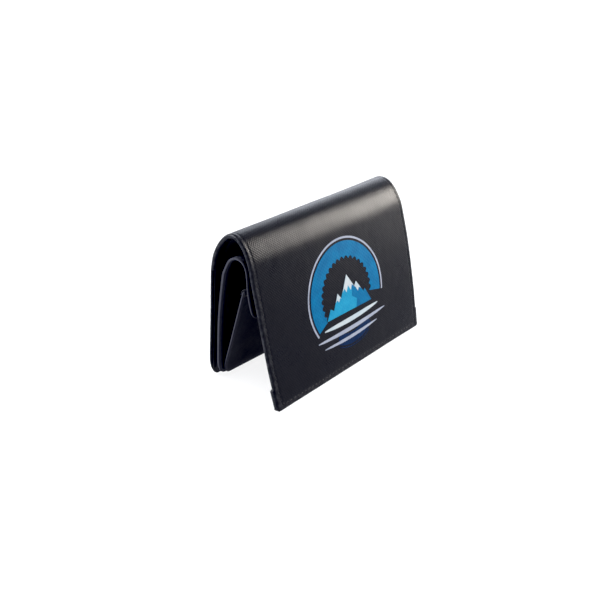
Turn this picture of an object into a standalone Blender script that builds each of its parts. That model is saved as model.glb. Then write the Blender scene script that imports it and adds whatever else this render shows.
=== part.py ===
"""Bifold wallet in coated tarpaulin, standing as a tent on its two long free edges.

Frame: X along the fold (the spine), -Y the front flap, +Y the back, +Z up, metres.
Origin: centre of the footprint, on the surface that the wallet stands on.

The cover is one sheet: up the back, over a soft roll, and down the front flap. It is
built in three lengths that meet at the two lines where the roll bends. Behind the flap
hangs a coin pocket with bellows sides and a press-stud flap; between the coin pocket
and the back of the cover is the banknote pocket, with bellows sides of its own.
"""

import math

import bmesh
import bpy
from mathutils import Matrix, Vector

MM = 0.001

# ---------------------------------------------------------------- driving sizes, in mm
COVER_WIDTH = 120.0  # along the fold
STANDING_HEIGHT = 83.1
STANDING_DEPTH = 47.2

TARP = 1.0  # coated tarpaulin of the cover, with its backing
LINING = 0.6  # woven lining inside the flap and the spine
PANEL = 1.0  # inner panel, coin front and coin flap
SLOT = 0.5  # card slot fronts
BELLOWS = 0.4  # gusset cloth
GAP = 0.3  # clearance between sheets that lie on each other

INNER_WIDTH = 118.0  # inner panel
COIN_WIDTH = 114.0  # coin pocket front
COIN_FLAP_WIDTH = 116.0
SLOT_WIDTH = 92.0  # takes an 85.6 mm card
LINING_WIDTH = 114.0

FLAP_CORNER = 3.0  # corner radius at the free edge of the front flap
BACK_CORNER = 6.0  # corner radius at the free edge of the back
PANEL_CORNER = 4.0

BACK_FLAT = 50.0  # the back is flat from its foot up to this height
BACK_BEND = (37.2, 74.0)  # the two lines where the roll bends, on its outer face
FRONT_BEND = (18.3, 78.3)
COIN_BEND = (25.6, 71.2)  # the line that the coin flap turns about

INNER_FOOT = 2.6  # height of the inner panel's lower edge above the surface
COIN_TOP = 54.0  # height of the coin pocket's mouth
SEAM = 2.6  # distance of a seam from the edge it holds
THREAD = 0.5  # thread diameter

STUD_R = 3.7  # press stud
CAP_R = 4.6
STUD_POST_R = 1.4

# Outer face of the cover in the Y-Z plane, from the back's free edge, over the spine,
# to the flap's free edge. y is counted from the flap's free edge.
COVER_LINE = [
    (47.2, 0.0), (42.95, BACK_FLAT), (42.15, 58.5), (41.4, 63.5), (40.2, 68.0),
    (38.3, 72.2), (35.7, 76.1), (32.4, 79.8), (28.8, 82.3),
    (25.0, 82.9), (21.4, 81.3), (18.3, 78.3), (16.0, 74.6), (14.3, 70.2), (13.0, 64.0),
    (11.4, 56.0), (9.8, 48.5), (8.1, 38.5), (6.3, 29.0), (4.2, 19.5), (2.4, 10.5),
    (0.0, 0.0),
]  # fmt: skip

# Rear face of the inner panel, from its foot to the top of the coin flap's fold, and on
# down the coin flap's outer face to its free edge.
INNER_LINE = [
    (42.0, INNER_FOOT), (41.2, 14.0), (39.9, 30.0), (38.0, 44.0), (36.1, 54.0),
    (34.6, 61.0), (32.9, 66.2), (30.0, 69.8), (25.6, 71.2), (21.6, 69.9), (19.4, 66.6),
    (18.7, 62.0), (18.5, 57.0), (17.8, 52.0), (16.6, 47.0), (15.0, 42.3),
]  # fmt: skip

COIN_LINE = [
    (39.5, 2.6), (36.6, 12.0), (33.3, 21.5), (29.6, 32.5), (25.8, 43.8), (22.4, COIN_TOP),
]  # outer face of the coin pocket's front, foot to mouth


# ---------------------------------------------------------------- curves in the Y-Z plane
class Line:
    """A smooth curve through points, walked by its length in mm."""

    def __init__(self, points, steps=24):
        pts = [Vector(p) for p in points]
        first = pts[0] * 2 - pts[1]
        last = pts[-1] * 2 - pts[-2]
        pts = [first] + pts + [last]
        self.points = []
        for i in range(1, len(pts) - 2):
            p0, p1, p2, p3 = pts[i - 1 : i + 3]
            for k in range(steps):
                t = k / steps
                self.points.append(
                    0.5
                    * (
                        2 * p1
                        + (p2 - p0) * t
                        + (2 * p0 - 5 * p1 + 4 * p2 - p3) * t * t
                        + (3 * p1 - p0 - 3 * p2 + p3) * t**3
                    )
                )
        self.points.append(pts[-2])
        self.at = [0.0]
        for a, b in zip(self.points, self.points[1:]):
            self.at.append(self.at[-1] + (b - a).length)
        self.length = self.at[-1]

    def _where(self, s):
        s = min(max(s, 0.0), self.length)
        lo, hi = 0, len(self.at) - 1
        while hi - lo > 1:
            mid = (lo + hi) // 2
            if self.at[mid] <= s:
                lo = mid
            else:
                hi = mid
        return lo, (s - self.at[lo]) / max(self.at[hi] - self.at[lo], 1e-9)

    def point(self, s):
        i, t = self._where(s)
        return self.points[i].lerp(self.points[i + 1], t)

    def tangent(self, s):
        return (self.point(s + 0.6) - self.point(s - 0.6)).normalized()

    def inward(self, s, depth):
        """The point at s, moved depth to the left of the walking direction (inside the fold)."""
        t = self.tangent(s)
        return self.point(s) + Vector((-t.y, t.x)) * depth

    def nearest(self, y, z):
        target = Vector((y, z))
        best = min(range(len(self.points)), key=lambda i: (self.points[i] - target).length)
        return self.at[best]

    def at_height(self, z, start=0.0, end=None):
        """The first length between start and end where the curve crosses height z."""
        end = self.length if end is None else end
        s, step = start, 0.25
        before = self.point(s).y - z
        while s < end:
            now = self.point(s + step).y - z
            if before * now <= 0:
                return s + step * abs(before) / max(abs(before) + abs(now), 1e-9)
            s, before = s + step, now
        return end


COVER = Line(COVER_LINE)
INNER = Line(INNER_LINE)
COIN = Line(COIN_LINE)

S_BACK_BEND = COVER.nearest(*BACK_BEND)
S_FRONT_BEND = COVER.nearest(*FRONT_BEND)
S_COIN_BEND = INNER.nearest(*COIN_BEND)


def spread(s0, s1, coarse, fine=None, bends=()):
    """Lengths from s0 to s1, close together (fine) inside the bends and coarse elsewhere."""
    fine = fine or coarse
    out = [s0]
    while out[-1] < s1 - 1e-6:
        s = out[-1]
        step = fine if any(a <= s < b for a, b in bends) else coarse
        out.append(min(s + step, s1))
    if len(out) > 2 and out[-1] - out[-2] < 0.4 * coarse:
        out.pop(-2)
    return out


# ---------------------------------------------------------------- Blender helpers
def world(x, y, z):
    return Vector((x * MM, (y - STANDING_DEPTH / 2) * MM, z * MM))


def clear_scene():
    for obj in list(bpy.data.objects):
        bpy.data.objects.remove(obj, do_unlink=True)


def material(name, colour, roughness, metallic=0.0):
    mat = bpy.data.materials.new(name)
    mat.use_nodes = True
    shader = mat.node_tree.nodes["Principled BSDF"]
    shader.inputs["Base Color"].default_value = (*colour, 1.0)
    shader.inputs["Roughness"].default_value = roughness
    shader.inputs["Metallic"].default_value = metallic
    mat.diffuse_color = (*colour, 1.0)
    return mat


def empty(name, y, z):
    obj = bpy.data.objects.new(name, None)
    obj.empty_display_size = 10 * MM
    obj.location = world(0, y, z)
    bpy.context.scene.collection.objects.link(obj)
    return obj


def adopt(obj, parent, mat):
    """Links obj, gives it its material, and hangs it on its joint's empty without moving it."""
    bpy.context.scene.collection.objects.link(obj)
    obj.data.materials.append(mat)
    if parent is not None:
        bpy.context.view_layer.update()
        obj.parent = parent
        obj.matrix_parent_inverse = parent.matrix_world.inverted()
    return obj


def finish_mesh(name, bm, parent, mat, smooth_deg=30.0):
    bmesh.ops.recalc_face_normals(bm, faces=bm.faces)
    mesh = bpy.data.meshes.new(name)
    bm.to_mesh(mesh)
    bm.free()
    mesh.shade_smooth()
    mesh.set_sharp_from_angle(angle=math.radians(smooth_deg))
    return adopt(bpy.data.objects.new(name, mesh), parent, mat)


def section_points(line, stations, near, far):
    """Closed outline of a sheet between two depths below a line."""
    a = [line.inward(s, near) for s in stations]
    b = [line.inward(s, far) for s in stations]
    return a + b[::-1]


def sheet(name, outline, width, parent, mat, round_at=None, radius=0.0):
    """A sheet of constant section: its outline in the Y-Z plane, extruded along X.
    round_at is a height: corner edges of the sheet at or below it are rounded."""
    bm = bmesh.new()
    face = bm.faces.new([bm.verts.new(world(-width / 2, p.x, p.y)) for p in outline])
    grown = bmesh.ops.extrude_face_region(bm, geom=[face])
    bmesh.ops.translate(
        bm,
        verts=[v for v in grown["geom"] if isinstance(v, bmesh.types.BMVert)],
        vec=Vector((width * MM, 0, 0)),
    )
    if radius:
        corners = round_at(bm)
        bmesh.ops.bevel(
            bm, geom=corners, offset=radius * MM, segments=5, profile=0.5,
            affect="EDGES", clamp_overlap=True,
        )  # fmt: skip
    return finish_mesh(name, bm, parent, mat)


def end_edges(a, b):
    """Picks the short edge through the sheet's thickness, at both ends, that joins outline points a and b."""

    def pick(bm):
        found = []
        for e in bm.edges:
            p, q = (v.co for v in e.verts)
            if abs(p.x - q.x) > 1e-7:
                continue
            for one, two in ((p, q), (q, p)):
                if (one.yz - world(0, *a).yz).length < 2e-6 and (
                    two.yz - world(0, *b).yz
                ).length < 2e-6:
                    found.append(e)
        return found

    return pick


def loft(name, rings, parent, mat):
    """Closed solid through rings of equal count, bridged one to the next and capped."""
    bm = bmesh.new()
    loops = []
    for ring in rings:
        verts = [bm.verts.new(p) for p in ring]
        loops.append(verts)
    for a, b in zip(loops, loops[1:]):
        for i in range(len(a)):
            j = (i + 1) % len(a)
            bm.faces.new((a[i], a[j], b[j], b[i]))
    bm.faces.new(loops[0][::-1])
    bm.faces.new(loops[-1])
    return finish_mesh(name, bm, parent, mat)


def turned(name, profile, place, parent, mat, sides=24):
    """A turned piece: (radius, height) points from its foot round to its top, spun about its own Z.
    A profile that starts and ends on the axis is solid; one that closes on itself is a ring."""
    bm = bmesh.new()
    ring = profile[0] == profile[-1]
    points = profile[:-1] if ring else profile
    rows = []
    for r, h in points:
        if r < 1e-6:
            rows.append([bm.verts.new((0, 0, h * MM))])
        else:
            rows.append([
                bm.verts.new((
                    r * MM * math.cos(2 * math.pi * k / sides),
                    r * MM * math.sin(2 * math.pi * k / sides),
                    h * MM,
                ))
                for k in range(sides)
            ])  # fmt: skip
    pairs = list(zip(rows, rows[1:])) + ([(rows[-1], rows[0])] if ring else [])
    for a, b in pairs:
        for k in range(sides):
            n = (k + 1) % sides
            if len(a) == 1:
                bm.faces.new((a[0], b[n], b[k]))
            elif len(b) == 1:
                bm.faces.new((a[k], a[n], b[0]))
            else:
                bm.faces.new((a[k], a[n], b[n], b[k]))
    bmesh.ops.transform(bm, matrix=place, verts=bm.verts)
    return finish_mesh(name, bm, parent, mat, 40)


def thread(name, path, parent, mat):
    """A seam's thread: a tube with filled caps through points in mm."""
    curve = bpy.data.curves.new(name, "CURVE")
    curve.dimensions = "3D"
    curve.bevel_depth = THREAD / 2 * MM
    curve.bevel_resolution = 1
    curve.use_fill_caps = True
    spline = curve.splines.new("POLY")
    spline.points.add(len(path) - 1)
    for point, (x, y, z) in zip(spline.points, path):
        point.co = (*world(x, y, z), 1.0)
    return adopt(bpy.data.objects.new(name, curve), parent, mat)


def seam_path(line, depth, half, stations):
    """Down one side of a sheet, across near its free edge, and up the other side.
    stations run from the seam's open end to its run across."""
    down = [(-half, *line.inward(s, depth)) for s in stations]
    up = [(half, *line.inward(s, depth)) for s in stations]
    across = [(x, *line.inward(stations[-1], depth)) for x in (-half / 2, 0.0, half / 2)]
    return down + across + up[::-1]


def facing(line, s, depth, x=0.0, inwards=True):
    """A placement whose Z points into the fold (or out of it), at a depth below the line."""
    p = line.inward(s, depth)
    t = line.tangent(s)
    n = Vector((0, -t.y, t.x)) * (1 if inwards else -1)
    up = Vector((0, t.x, t.y))
    side = up.cross(n)
    rot = Matrix((side, up, n)).transposed().to_4x4()
    return Matrix.Translation(world(x, p.x, p.y)) @ rot


def bellows(name, side, rear, front, heights, edge_x, fold_depth, parent, mat):
    """A side gusset: two leaves that leave the rear and front walls and meet in a fold inside.
    rear and front give the wall faces' y at a height; fold_depth is how far in the fold lies."""
    rings = []
    for z in heights:
        y_rear, y_front = rear(z) - GAP, front(z) + GAP
        mid = (y_rear + y_front) / 2
        depth = fold_depth(z)
        t = BELLOWS
        flat = [
            (edge_x, y_rear),
            (edge_x - depth, mid + t * 0.7),
            (edge_x - depth - t * 1.2, mid),
            (edge_x - depth, mid - t * 0.7),
            (edge_x, y_front),
            (edge_x, y_front + t),
            (edge_x - depth + t * 1.5, mid),
            (edge_x, y_rear - t),
        ]
        rings.append([world(side * x, y, z) for x, y in flat])
    return loft(name, rings, parent, mat)


def y_of(line, depth, z, s0=0.0, s1=None):
    """y of the face at a depth below the line, at height z."""
    s1 = line.length if s1 is None else s1
    lo, hi = s0, s1
    rising = line.inward(hi, depth).y > line.inward(lo, depth).y
    for _ in range(40):
        mid = (lo + hi) / 2
        if (line.inward(mid, depth).y < z) == rising:
            lo = mid
        else:
            hi = mid
    return line.inward((lo + hi) / 2, depth).x


# ---------------------------------------------------------------- the wallet
def build():
    clear_scene()
    tarp = material("tarpaulin", (0.018, 0.018, 0.021), 0.38)
    cloth = material("lining_cloth", (0.012, 0.012, 0.014), 0.85)
    panel_mat = material("panel_tarpaulin", (0.014, 0.014, 0.017), 0.45)
    slot_mat = material("slot_tarpaulin", (0.016, 0.016, 0.019), 0.5)
    yarn = material("thread", (0.05, 0.05, 0.055), 0.7)
    steel = material("press_stud_metal", (0.32, 0.32, 0.33), 0.3, 1.0)

    # Joint empties, each on its own axis.
    back_bend = empty("back_bend_axis", *COVER.point(S_BACK_BEND))
    front_bend = empty("front_bend_axis", *COVER.point(S_FRONT_BEND))
    bill_axis = empty("bill_pocket_axis", 42.0, INNER_FOOT)
    coin_axis = empty("coin_pocket_axis", 40.45, 2.6)
    coin_flap_axis = empty("coin_flap_axis", *INNER.point(S_COIN_BEND))
    bpy.context.view_layer.update()

    roll = [(COVER.nearest(41.7, 61.5), COVER.nearest(14.3, 70.2))]
    half_gap = GAP / 2
    lining_near = TARP + GAP
    lining_far = lining_near + LINING
    S_END = COVER.length

    # ---- back of the cover
    s_flat = COVER.at_height(BACK_FLAT)
    stations = [0.0] + spread(s_flat, S_BACK_BEND - half_gap, 3.0, 2.2, roll)
    outline = section_points(COVER, stations, 0.0, TARP)
    # the foot is trimmed level, so that the back stands on a flat edge
    foot_in = Vector((y_of(COVER, TARP, 0.0, 0.0, 6.0), 0.0))
    outline[0] = Vector((COVER_LINE[0][0], 0.0))
    outline[-1] = foot_in
    sheet(
        "cover_back_panel", outline, COVER_WIDTH, None, tarp,
        end_edges(tuple(outline[0]), tuple(outline[-1])), BACK_CORNER,
    )  # fmt: skip

    # ---- spine
    stations = spread(S_BACK_BEND + half_gap, S_FRONT_BEND - half_gap, 2.2)
    sheet("cover_spine", section_points(COVER, stations, 0.0, TARP), COVER_WIDTH, back_bend, tarp)
    sheet(
        "spine_lining", section_points(COVER, stations, lining_near, lining_far),
        LINING_WIDTH, back_bend, cloth,
    )  # fmt: skip

    # ---- front flap
    stations = spread(S_FRONT_BEND + half_gap, S_END, 7.0, 2.2, roll)
    outline = section_points(COVER, stations, 0.0, TARP)
    k = len(stations) - 1
    outline[k] = Vector((0.0, 0.0))
    outline[k + 1] = Vector((y_of(COVER, TARP, 0.0, S_END - 6.0, S_END), 0.0))
    sheet(
        "cover_front_panel", outline, COVER_WIDTH, front_bend, tarp,
        end_edges(tuple(outline[k]), tuple(outline[k + 1])), FLAP_CORNER,
    )  # fmt: skip
    stations = spread(S_FRONT_BEND + half_gap, S_END - 2.0, 7.0, 2.2, roll)
    sheet(
        "flap_lining", section_points(COVER, stations, lining_near, lining_far),
        LINING_WIDTH, front_bend, cloth,
    )  # fmt: skip

    # ---- card slots on the inner side of the flap, open towards the spine
    depth = lining_far
    for name, top in (
        ("card_slot_rear", 56.0), ("card_slot_middle", 46.0), ("card_slot_front", 36.0),
    ):  # fmt: skip
        depth += GAP
        stations = spread(S_END - top, S_END - 5.0, 7.5)
        sheet(
            name, section_points(COVER, stations, depth, depth + SLOT),
            SLOT_WIDTH, front_bend, slot_mat,
        )  # fmt: skip
        depth += SLOT
    slots_inner = depth
    stations = spread(S_END - 35.0, S_END - 6.4, 7.0)
    thread(
        "card_slot_seam_thread",
        seam_path(COVER, slots_inner + GAP + THREAD / 2, SLOT_WIDTH / 2 - 1.4, stations),
        front_bend, yarn,
    )  # fmt: skip

    # ---- seams along the cover's edges
    lift = -(GAP + THREAD / 2)
    half = COVER_WIDTH / 2 - SEAM
    stations = spread(S_FRONT_BEND + 0.8, S_END - SEAM, 7.0, 2.2, roll)
    thread("flap_seam_thread", seam_path(COVER, lift, half, stations), front_bend, yarn)
    stations = spread(S_BACK_BEND + 0.8, S_FRONT_BEND - 0.8, 2.4)
    for side, x in (("left", -half), ("right", half)):
        thread(
            f"spine_seam_thread_{side}",
            [(x, *COVER.inward(s, lift)) for s in stations], back_bend, yarn,
        )  # fmt: skip

    # ---- inner panel: rear wall of the coin pocket, front wall of the banknote pocket
    s_panel_top = INNER.nearest(34.6, 61.0)
    stations = spread(0.0, s_panel_top - half_gap, 9.0)
    outline = section_points(INNER, stations, 0.0, PANEL)
    sheet(
        "inner_panel", outline, INNER_WIDTH, bill_axis, panel_mat,
        end_edges(tuple(outline[0]), tuple(outline[-1])), PANEL_CORNER,
    )  # fmt: skip
    stations = spread(s_panel_top + half_gap, S_COIN_BEND - half_gap, 2.0)
    sheet(
        "coin_flap_root", section_points(INNER, stations, 0.0, PANEL),
        COIN_FLAP_WIDTH, bill_axis, panel_mat,
    )  # fmt: skip

    # ---- coin flap
    s_tip = INNER.length
    bend_end = INNER.nearest(18.7, 62.0)
    stations = spread(S_COIN_BEND + half_gap, s_tip, 4.2, 2.0, [(0.0, bend_end)])
    outline = section_points(INNER, stations, 0.0, PANEL)
    k = len(stations) - 1
    flap = sheet(
        "coin_flap", outline, COIN_FLAP_WIDTH, coin_flap_axis, panel_mat,
        end_edges(tuple(outline[k]), tuple(outline[k + 1])), 3.5,
    )  # fmt: skip
    stations = spread(S_COIN_BEND + 0.8, s_tip - 1.6, 4.2, 2.0, [(0.0, bend_end)])
    thread(
        "coin_flap_seam_thread",
        seam_path(INNER, lift, COIN_FLAP_WIDTH / 2 - SEAM, stations), coin_flap_axis, yarn,
    )  # fmt: skip

    # ---- coin pocket front, with the folded tape over its mouth
    stations = spread(0.0, COIN.length, 9.5)
    outline = section_points(COIN, stations, -PANEL, 0.0)
    sheet(
        "coin_front_panel", outline, COIN_WIDTH, coin_axis, panel_mat,
        end_edges(tuple(outline[0]), tuple(outline[-1])), PANEL_CORNER,
    )  # fmt: skip
    tape_out, tape_in, tape_down = GAP, GAP + 0.5, 2.2
    t = COIN.tangent(COIN.length)
    n = Vector((-t.y, t.x))
    top = COIN.point(COIN.length)
    low = COIN.length - tape_down
    tape = [
        COIN.inward(low, tape_in), top + n * tape_in + t * 0.2, top + n * (tape_in - 0.25) + t * 0.75,
        top - n * (PANEL + tape_in - 0.25) + t * 0.75, top - n * (PANEL + tape_in) + t * 0.2,
        COIN.inward(low, -PANEL - tape_in), COIN.inward(low, -PANEL - tape_out),
        top - n * (PANEL + tape_out) + t * 0.1, top - n * (PANEL + tape_out - 0.05) + t * GAP,
        top + n * (tape_out - 0.05) + t * GAP, top + n * tape_out + t * 0.1, COIN.inward(low, tape_out),
    ]  # fmt: skip
    sheet("coin_mouth_tape", tape, COIN_WIDTH, coin_axis, cloth)

    # ---- bellows of the banknote pocket and of the coin pocket
    back_inner = lambda z: y_of(COVER, TARP, z, 0.0, S_BACK_BEND)
    panel_rear = lambda z: y_of(INNER, 0.0, z, 0.0, s_panel_top)
    panel_front = lambda z: y_of(INNER, PANEL, z, 0.0, s_panel_top)
    coin_inner = lambda z: y_of(COIN, -PANEL, z)
    bill_z = [7.0, 16.0, 28.0, 40.0, 50.0, 57.0, 60.0]
    coin_z = [12.0, 20.0, 29.0, 38.0, 45.0, 48.2]
    floor = [
        Vector((back_inner(3.3) - GAP, 3.0)), Vector((back_inner(3.3) - GAP, 3.6)),
        Vector((panel_rear(3.3) + GAP, 3.6)), Vector((panel_rear(3.3) + GAP, 3.0)),
    ]  # fmt: skip
    sheet("bill_pocket_floor", floor, INNER_WIDTH - 12.0, None, cloth)
    for name, side in (("left", -1), ("right", 1)):
        bellows(
            f"bill_gusset_{name}", side, back_inner, panel_rear, bill_z,
            58.6, lambda z: 4.0 + 3.0 * z / 60.0, None, cloth,
        )  # fmt: skip
        bellows(
            f"coin_gusset_{name}", side, panel_front, coin_inner, coin_z,
            56.6, lambda z: 3.0 + 5.5 * z / 50.0, bill_axis, cloth,
        )  # fmt: skip

    # ---- press stud: cap and socket on the coin flap, stud and its rivet on the pocket
    s_socket = INNER.length - 7.3
    cap = [(0, 0), (CAP_R - 0.3, 0), (CAP_R, 0.3), (CAP_R - 0.5, 0.75), (CAP_R * 0.55, 1.05), (0, 1.15)]
    turned("snap_cap", cap, facing(INNER, s_socket, -GAP, inwards=False), coin_flap_axis, steel)
    socket = [
        (STUD_POST_R + 0.35, 0), (STUD_R, 0), (STUD_R, 0.5), (STUD_R - 1.0, 1.2),
        (STUD_POST_R + 0.35, 1.2), (STUD_POST_R + 0.35, 0),
    ]  # fmt: skip
    turned("snap_socket", socket, facing(INNER, s_socket, PANEL + GAP), coin_flap_axis, steel)
    s_stud = COIN.length - 6.4
    stud = [
        (0, 0), (STUD_R, 0), (STUD_R, 0.35), (STUD_R - 0.8, 0.6), (STUD_POST_R - 0.2, 0.7),
        (STUD_POST_R - 0.25, 1.2), (STUD_POST_R, 1.5), (STUD_POST_R - 0.3, 1.8), (0, 1.9),
    ]  # fmt: skip
    turned("snap_stud", stud, facing(COIN, s_stud, GAP), coin_axis, steel)
    rivet = [(0, 0), (STUD_R - 0.6, 0), (STUD_R - 0.6, 0.35), (STUD_R - 1.4, 0.6), (0, 0.65)]
    turned("snap_rivet", rivet, facing(COIN, s_stud, -PANEL - GAP, inwards=False), coin_axis, steel)


build()
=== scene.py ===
"""Looks of the bifold wallet: the CAD model is the frame, and every sheet, seam and print is made here in mesh code."""

import math
import random

import bmesh
import bpy
import numpy as np
from mathutils import Matrix, Vector, noise
from mathutils.geometry import tessellate_polygon

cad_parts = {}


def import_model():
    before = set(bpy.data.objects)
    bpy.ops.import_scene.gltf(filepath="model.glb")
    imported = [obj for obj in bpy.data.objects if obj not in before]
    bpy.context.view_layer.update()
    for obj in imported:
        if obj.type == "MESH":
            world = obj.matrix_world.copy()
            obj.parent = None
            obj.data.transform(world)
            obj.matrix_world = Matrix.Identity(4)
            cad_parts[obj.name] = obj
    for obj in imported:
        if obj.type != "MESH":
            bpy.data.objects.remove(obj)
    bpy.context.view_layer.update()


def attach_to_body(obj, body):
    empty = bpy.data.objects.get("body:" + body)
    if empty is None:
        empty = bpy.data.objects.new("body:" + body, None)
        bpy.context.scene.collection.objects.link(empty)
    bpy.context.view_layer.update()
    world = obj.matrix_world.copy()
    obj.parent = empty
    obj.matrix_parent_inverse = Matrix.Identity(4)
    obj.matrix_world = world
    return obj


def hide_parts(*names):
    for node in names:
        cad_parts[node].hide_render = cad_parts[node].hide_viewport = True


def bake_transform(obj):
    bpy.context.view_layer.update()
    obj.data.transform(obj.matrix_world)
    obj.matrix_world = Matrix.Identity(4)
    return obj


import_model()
random.seed(7)

MM = 0.001
Y_MID = 23.6  # half the footprint's depth, mm

# ------------------------------------------------------------------ camera
YAW, PITCH = math.radians(47.95), math.radians(25.36)
EYE = (-285.0, -219.0, 207.3)
cam_data = bpy.data.cameras.new("camera")
cam_data.sensor_width = 36.0
cam_data.lens = 46.39
cam_data.clip_start = 0.01
cam_data.clip_end = 60.0
camera = bpy.data.objects.new("camera", cam_data)
bpy.context.scene.collection.objects.link(camera)
look = Vector((
    math.sin(YAW) * math.cos(PITCH), math.cos(YAW) * math.cos(PITCH), -math.sin(PITCH),
))  # fmt: skip
camera.location = Vector((EYE[0] * MM, (EYE[1] - Y_MID) * MM, EYE[2] * MM))
camera.rotation_euler = look.to_track_quat("-Z", "Y").to_euler()
bpy.context.scene.camera = camera


# ------------------------------------------------------------------ curves of the section
class Line:
    """Smooth curve in the Y-Z plane, in mm, walked by its length."""

    def __init__(self, points, steps=40):
        pts = [np.array(p, float) for p in points]
        pts = [2 * pts[0] - pts[1]] + pts + [2 * pts[-1] - pts[-2]]
        out = []
        for i in range(1, len(pts) - 2):
            p0, p1, p2, p3 = pts[i - 1 : i + 3]
            for k in range(steps):
                t = k / steps
                out.append(
                    0.5
                    * (
                        2 * p1
                        + (p2 - p0) * t
                        + (2 * p0 - 5 * p1 + 4 * p2 - p3) * t * t
                        + (3 * p1 - p0 - 3 * p2 + p3) * t**3
                    )
                )
        out.append(pts[-2])
        self.p = np.array(out)
        self.s = np.concatenate([[0], np.cumsum(np.linalg.norm(np.diff(self.p, axis=0), axis=1))])
        self.length = float(self.s[-1])

    def point(self, s):
        """Position at s; beyond the ends it runs on straight."""
        c = min(max(s, 0.0), self.length)
        q = np.array([np.interp(c, self.s, self.p[:, 0]), np.interp(c, self.s, self.p[:, 1])])
        return q if c == s else q + self.tangent(c) * (s - c)

    def tangent(self, s):
        s = min(max(s, 0.9), self.length - 0.9)
        a = [np.interp(s + d, self.s, self.p[:, 0]) for d in (-0.9, 0.9)]
        b = [np.interp(s + d, self.s, self.p[:, 1]) for d in (-0.9, 0.9)]
        t = np.array([a[1] - a[0], b[1] - b[0]])
        return t / np.linalg.norm(t)

    def normal(self, s):
        """Into the fold: to the left of the walking direction."""
        t = self.tangent(s)
        return np.array([-t[1], t[0]])

    def nearest(self, y, z):
        d = np.linalg.norm(self.p - np.array([y, z]), axis=1)
        return float(self.s[int(np.argmin(d))])


INNER_FOOT, COIN_TOP, BACK_FLAT = 2.6, 54.0, 50.0
COVER = Line([
    (47.2, 0.0), (42.95, BACK_FLAT), (42.15, 58.5), (41.4, 63.5), (40.2, 68.0),
    (38.3, 72.2), (35.7, 76.1), (32.4, 79.8), (28.8, 82.3), (25.0, 82.9), (21.4, 81.3),
    (18.3, 78.3), (16.0, 74.6), (14.3, 70.2), (13.0, 64.0), (11.4, 56.0), (9.8, 48.5),
    (8.1, 38.5), (6.3, 29.0), (4.2, 19.5), (2.4, 10.5), (0.0, 0.0),
])  # fmt: skip
INNER = Line([
    (42.0, INNER_FOOT), (41.2, 14.0), (39.9, 30.0), (38.0, 44.0), (36.1, 54.0),
    (34.6, 61.0), (32.9, 66.2), (30.0, 69.8), (25.6, 71.2), (21.6, 69.9), (19.4, 66.6),
    (18.7, 62.0), (18.5, 57.0), (17.8, 52.0), (16.6, 47.0), (15.0, 42.3),
])  # fmt: skip
COIN = Line([
    (39.5, 2.6), (36.6, 12.0), (33.3, 21.5), (29.6, 32.5), (25.8, 43.8), (22.4, COIN_TOP),
])  # fmt: skip

# how the real sheet hangs at its two ends: the left end's foot swings forward, the right end's roll leans back
COVER_LEFT = Line([
    (47.5, 0.0), (43.25, BACK_FLAT), (42.5, 58.5), (41.75, 63.5), (40.5, 68.2),
    (38.6, 72.5), (36.0, 76.4), (32.6, 80.1), (28.9, 82.7), (25.0, 83.3), (21.4, 81.7),
    (18.3, 78.6), (16.0, 74.8), (14.2, 70.3), (12.8, 64.0), (11.1, 56.0), (9.3, 48.5),
    (7.2, 38.5), (5.0, 29.0), (2.7, 19.5), (0.1, 10.5), (-3.3, 0.0),
])  # fmt: skip
COVER_RIGHT = Line([
    (47.5, 0.0), (43.4, BACK_FLAT), (42.9, 58.5), (42.5, 63.5), (41.8, 68.7),
    (40.6, 74.0), (38.6, 78.4), (35.7, 81.8), (32.2, 83.7), (28.2, 84.1), (24.3, 82.8),
    (20.9, 80.2), (17.9, 76.4), (15.4, 71.8), (13.3, 65.2), (11.0, 57.0), (9.0, 48.8),
    (6.9, 39.0), (4.8, 29.0), (2.9, 19.5), (1.2, 9.0), (-0.2, 0.0),
])  # fmt: skip

S_BACK_BEND = COVER.nearest(37.2, 74.0)
S_FRONT_BEND = COVER.nearest(18.3, 78.3)
S_APEX = COVER.nearest(26.8, 82.8)
S_END = COVER.length


def world(x, y, z):
    return Vector((x * MM, (y - Y_MID) * MM, z * MM))


def smooth(a, b, v):
    t = min(max((v - a) / (b - a), 0.0), 1.0)
    return t * t * (3 - 2 * t)


def wave(x, s, seed, size=34.0):
    return noise.noise(Vector((x / size, s / size, seed)))


# ------------------------------------------------------------------ sheets
def stations(a, b, coarse, fine=None, zones=()):
    out = [a]
    while out[-1] < b - 1e-6:
        s = out[-1]
        step = coarse
        if fine and any(lo - 1e-6 <= s < hi for lo, hi in zones):
            step = fine
        out.append(min(s + step, b))
    if len(out) > 2 and out[-1] - out[-2] < 0.35 * step:
        out.pop(-2)
    return out


def edged(half, steps, coarse):
    """Distances from the middle to half: close together near the edge (steps are distances from it)."""
    inner = half - max(steps)
    n = max(2, int(round(2 * inner / coarse)))
    mid = [-inner + 2 * inner * i / n for i in range(n + 1)]
    rim = [half - e for e in sorted(steps, reverse=True)[1:]]
    return [-v for v in reversed(rim)] + mid + rim


def end_shift(target, count=160):
    """How far each length of the cover moves at one end, as a table of (length, dy, dz)."""
    rows = []
    for i in range(count + 1):
        s = COVER.length * i / count
        a, b = COVER.point(s), target.point(s * target.length / COVER.length)
        rows.append((s, b[0] - a[0], b[1] - a[1]))
    return np.array(rows)


SHIFT_LEFT, SHIFT_RIGHT = end_shift(COVER_LEFT), end_shift(COVER_RIGHT)


def hang(s, x):
    w = min(max((60.0 + x) / 120.0, -0.02), 1.02)
    out = []
    for k in (1, 2):
        a = np.interp(s, SHIFT_LEFT[:, 0], SHIFT_LEFT[:, k])
        b = np.interp(s, SHIFT_RIGHT[:, 0], SHIFT_RIGHT[:, k])
        out.append(a * (1 - w) + b * w)
    return np.array(out)


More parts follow.
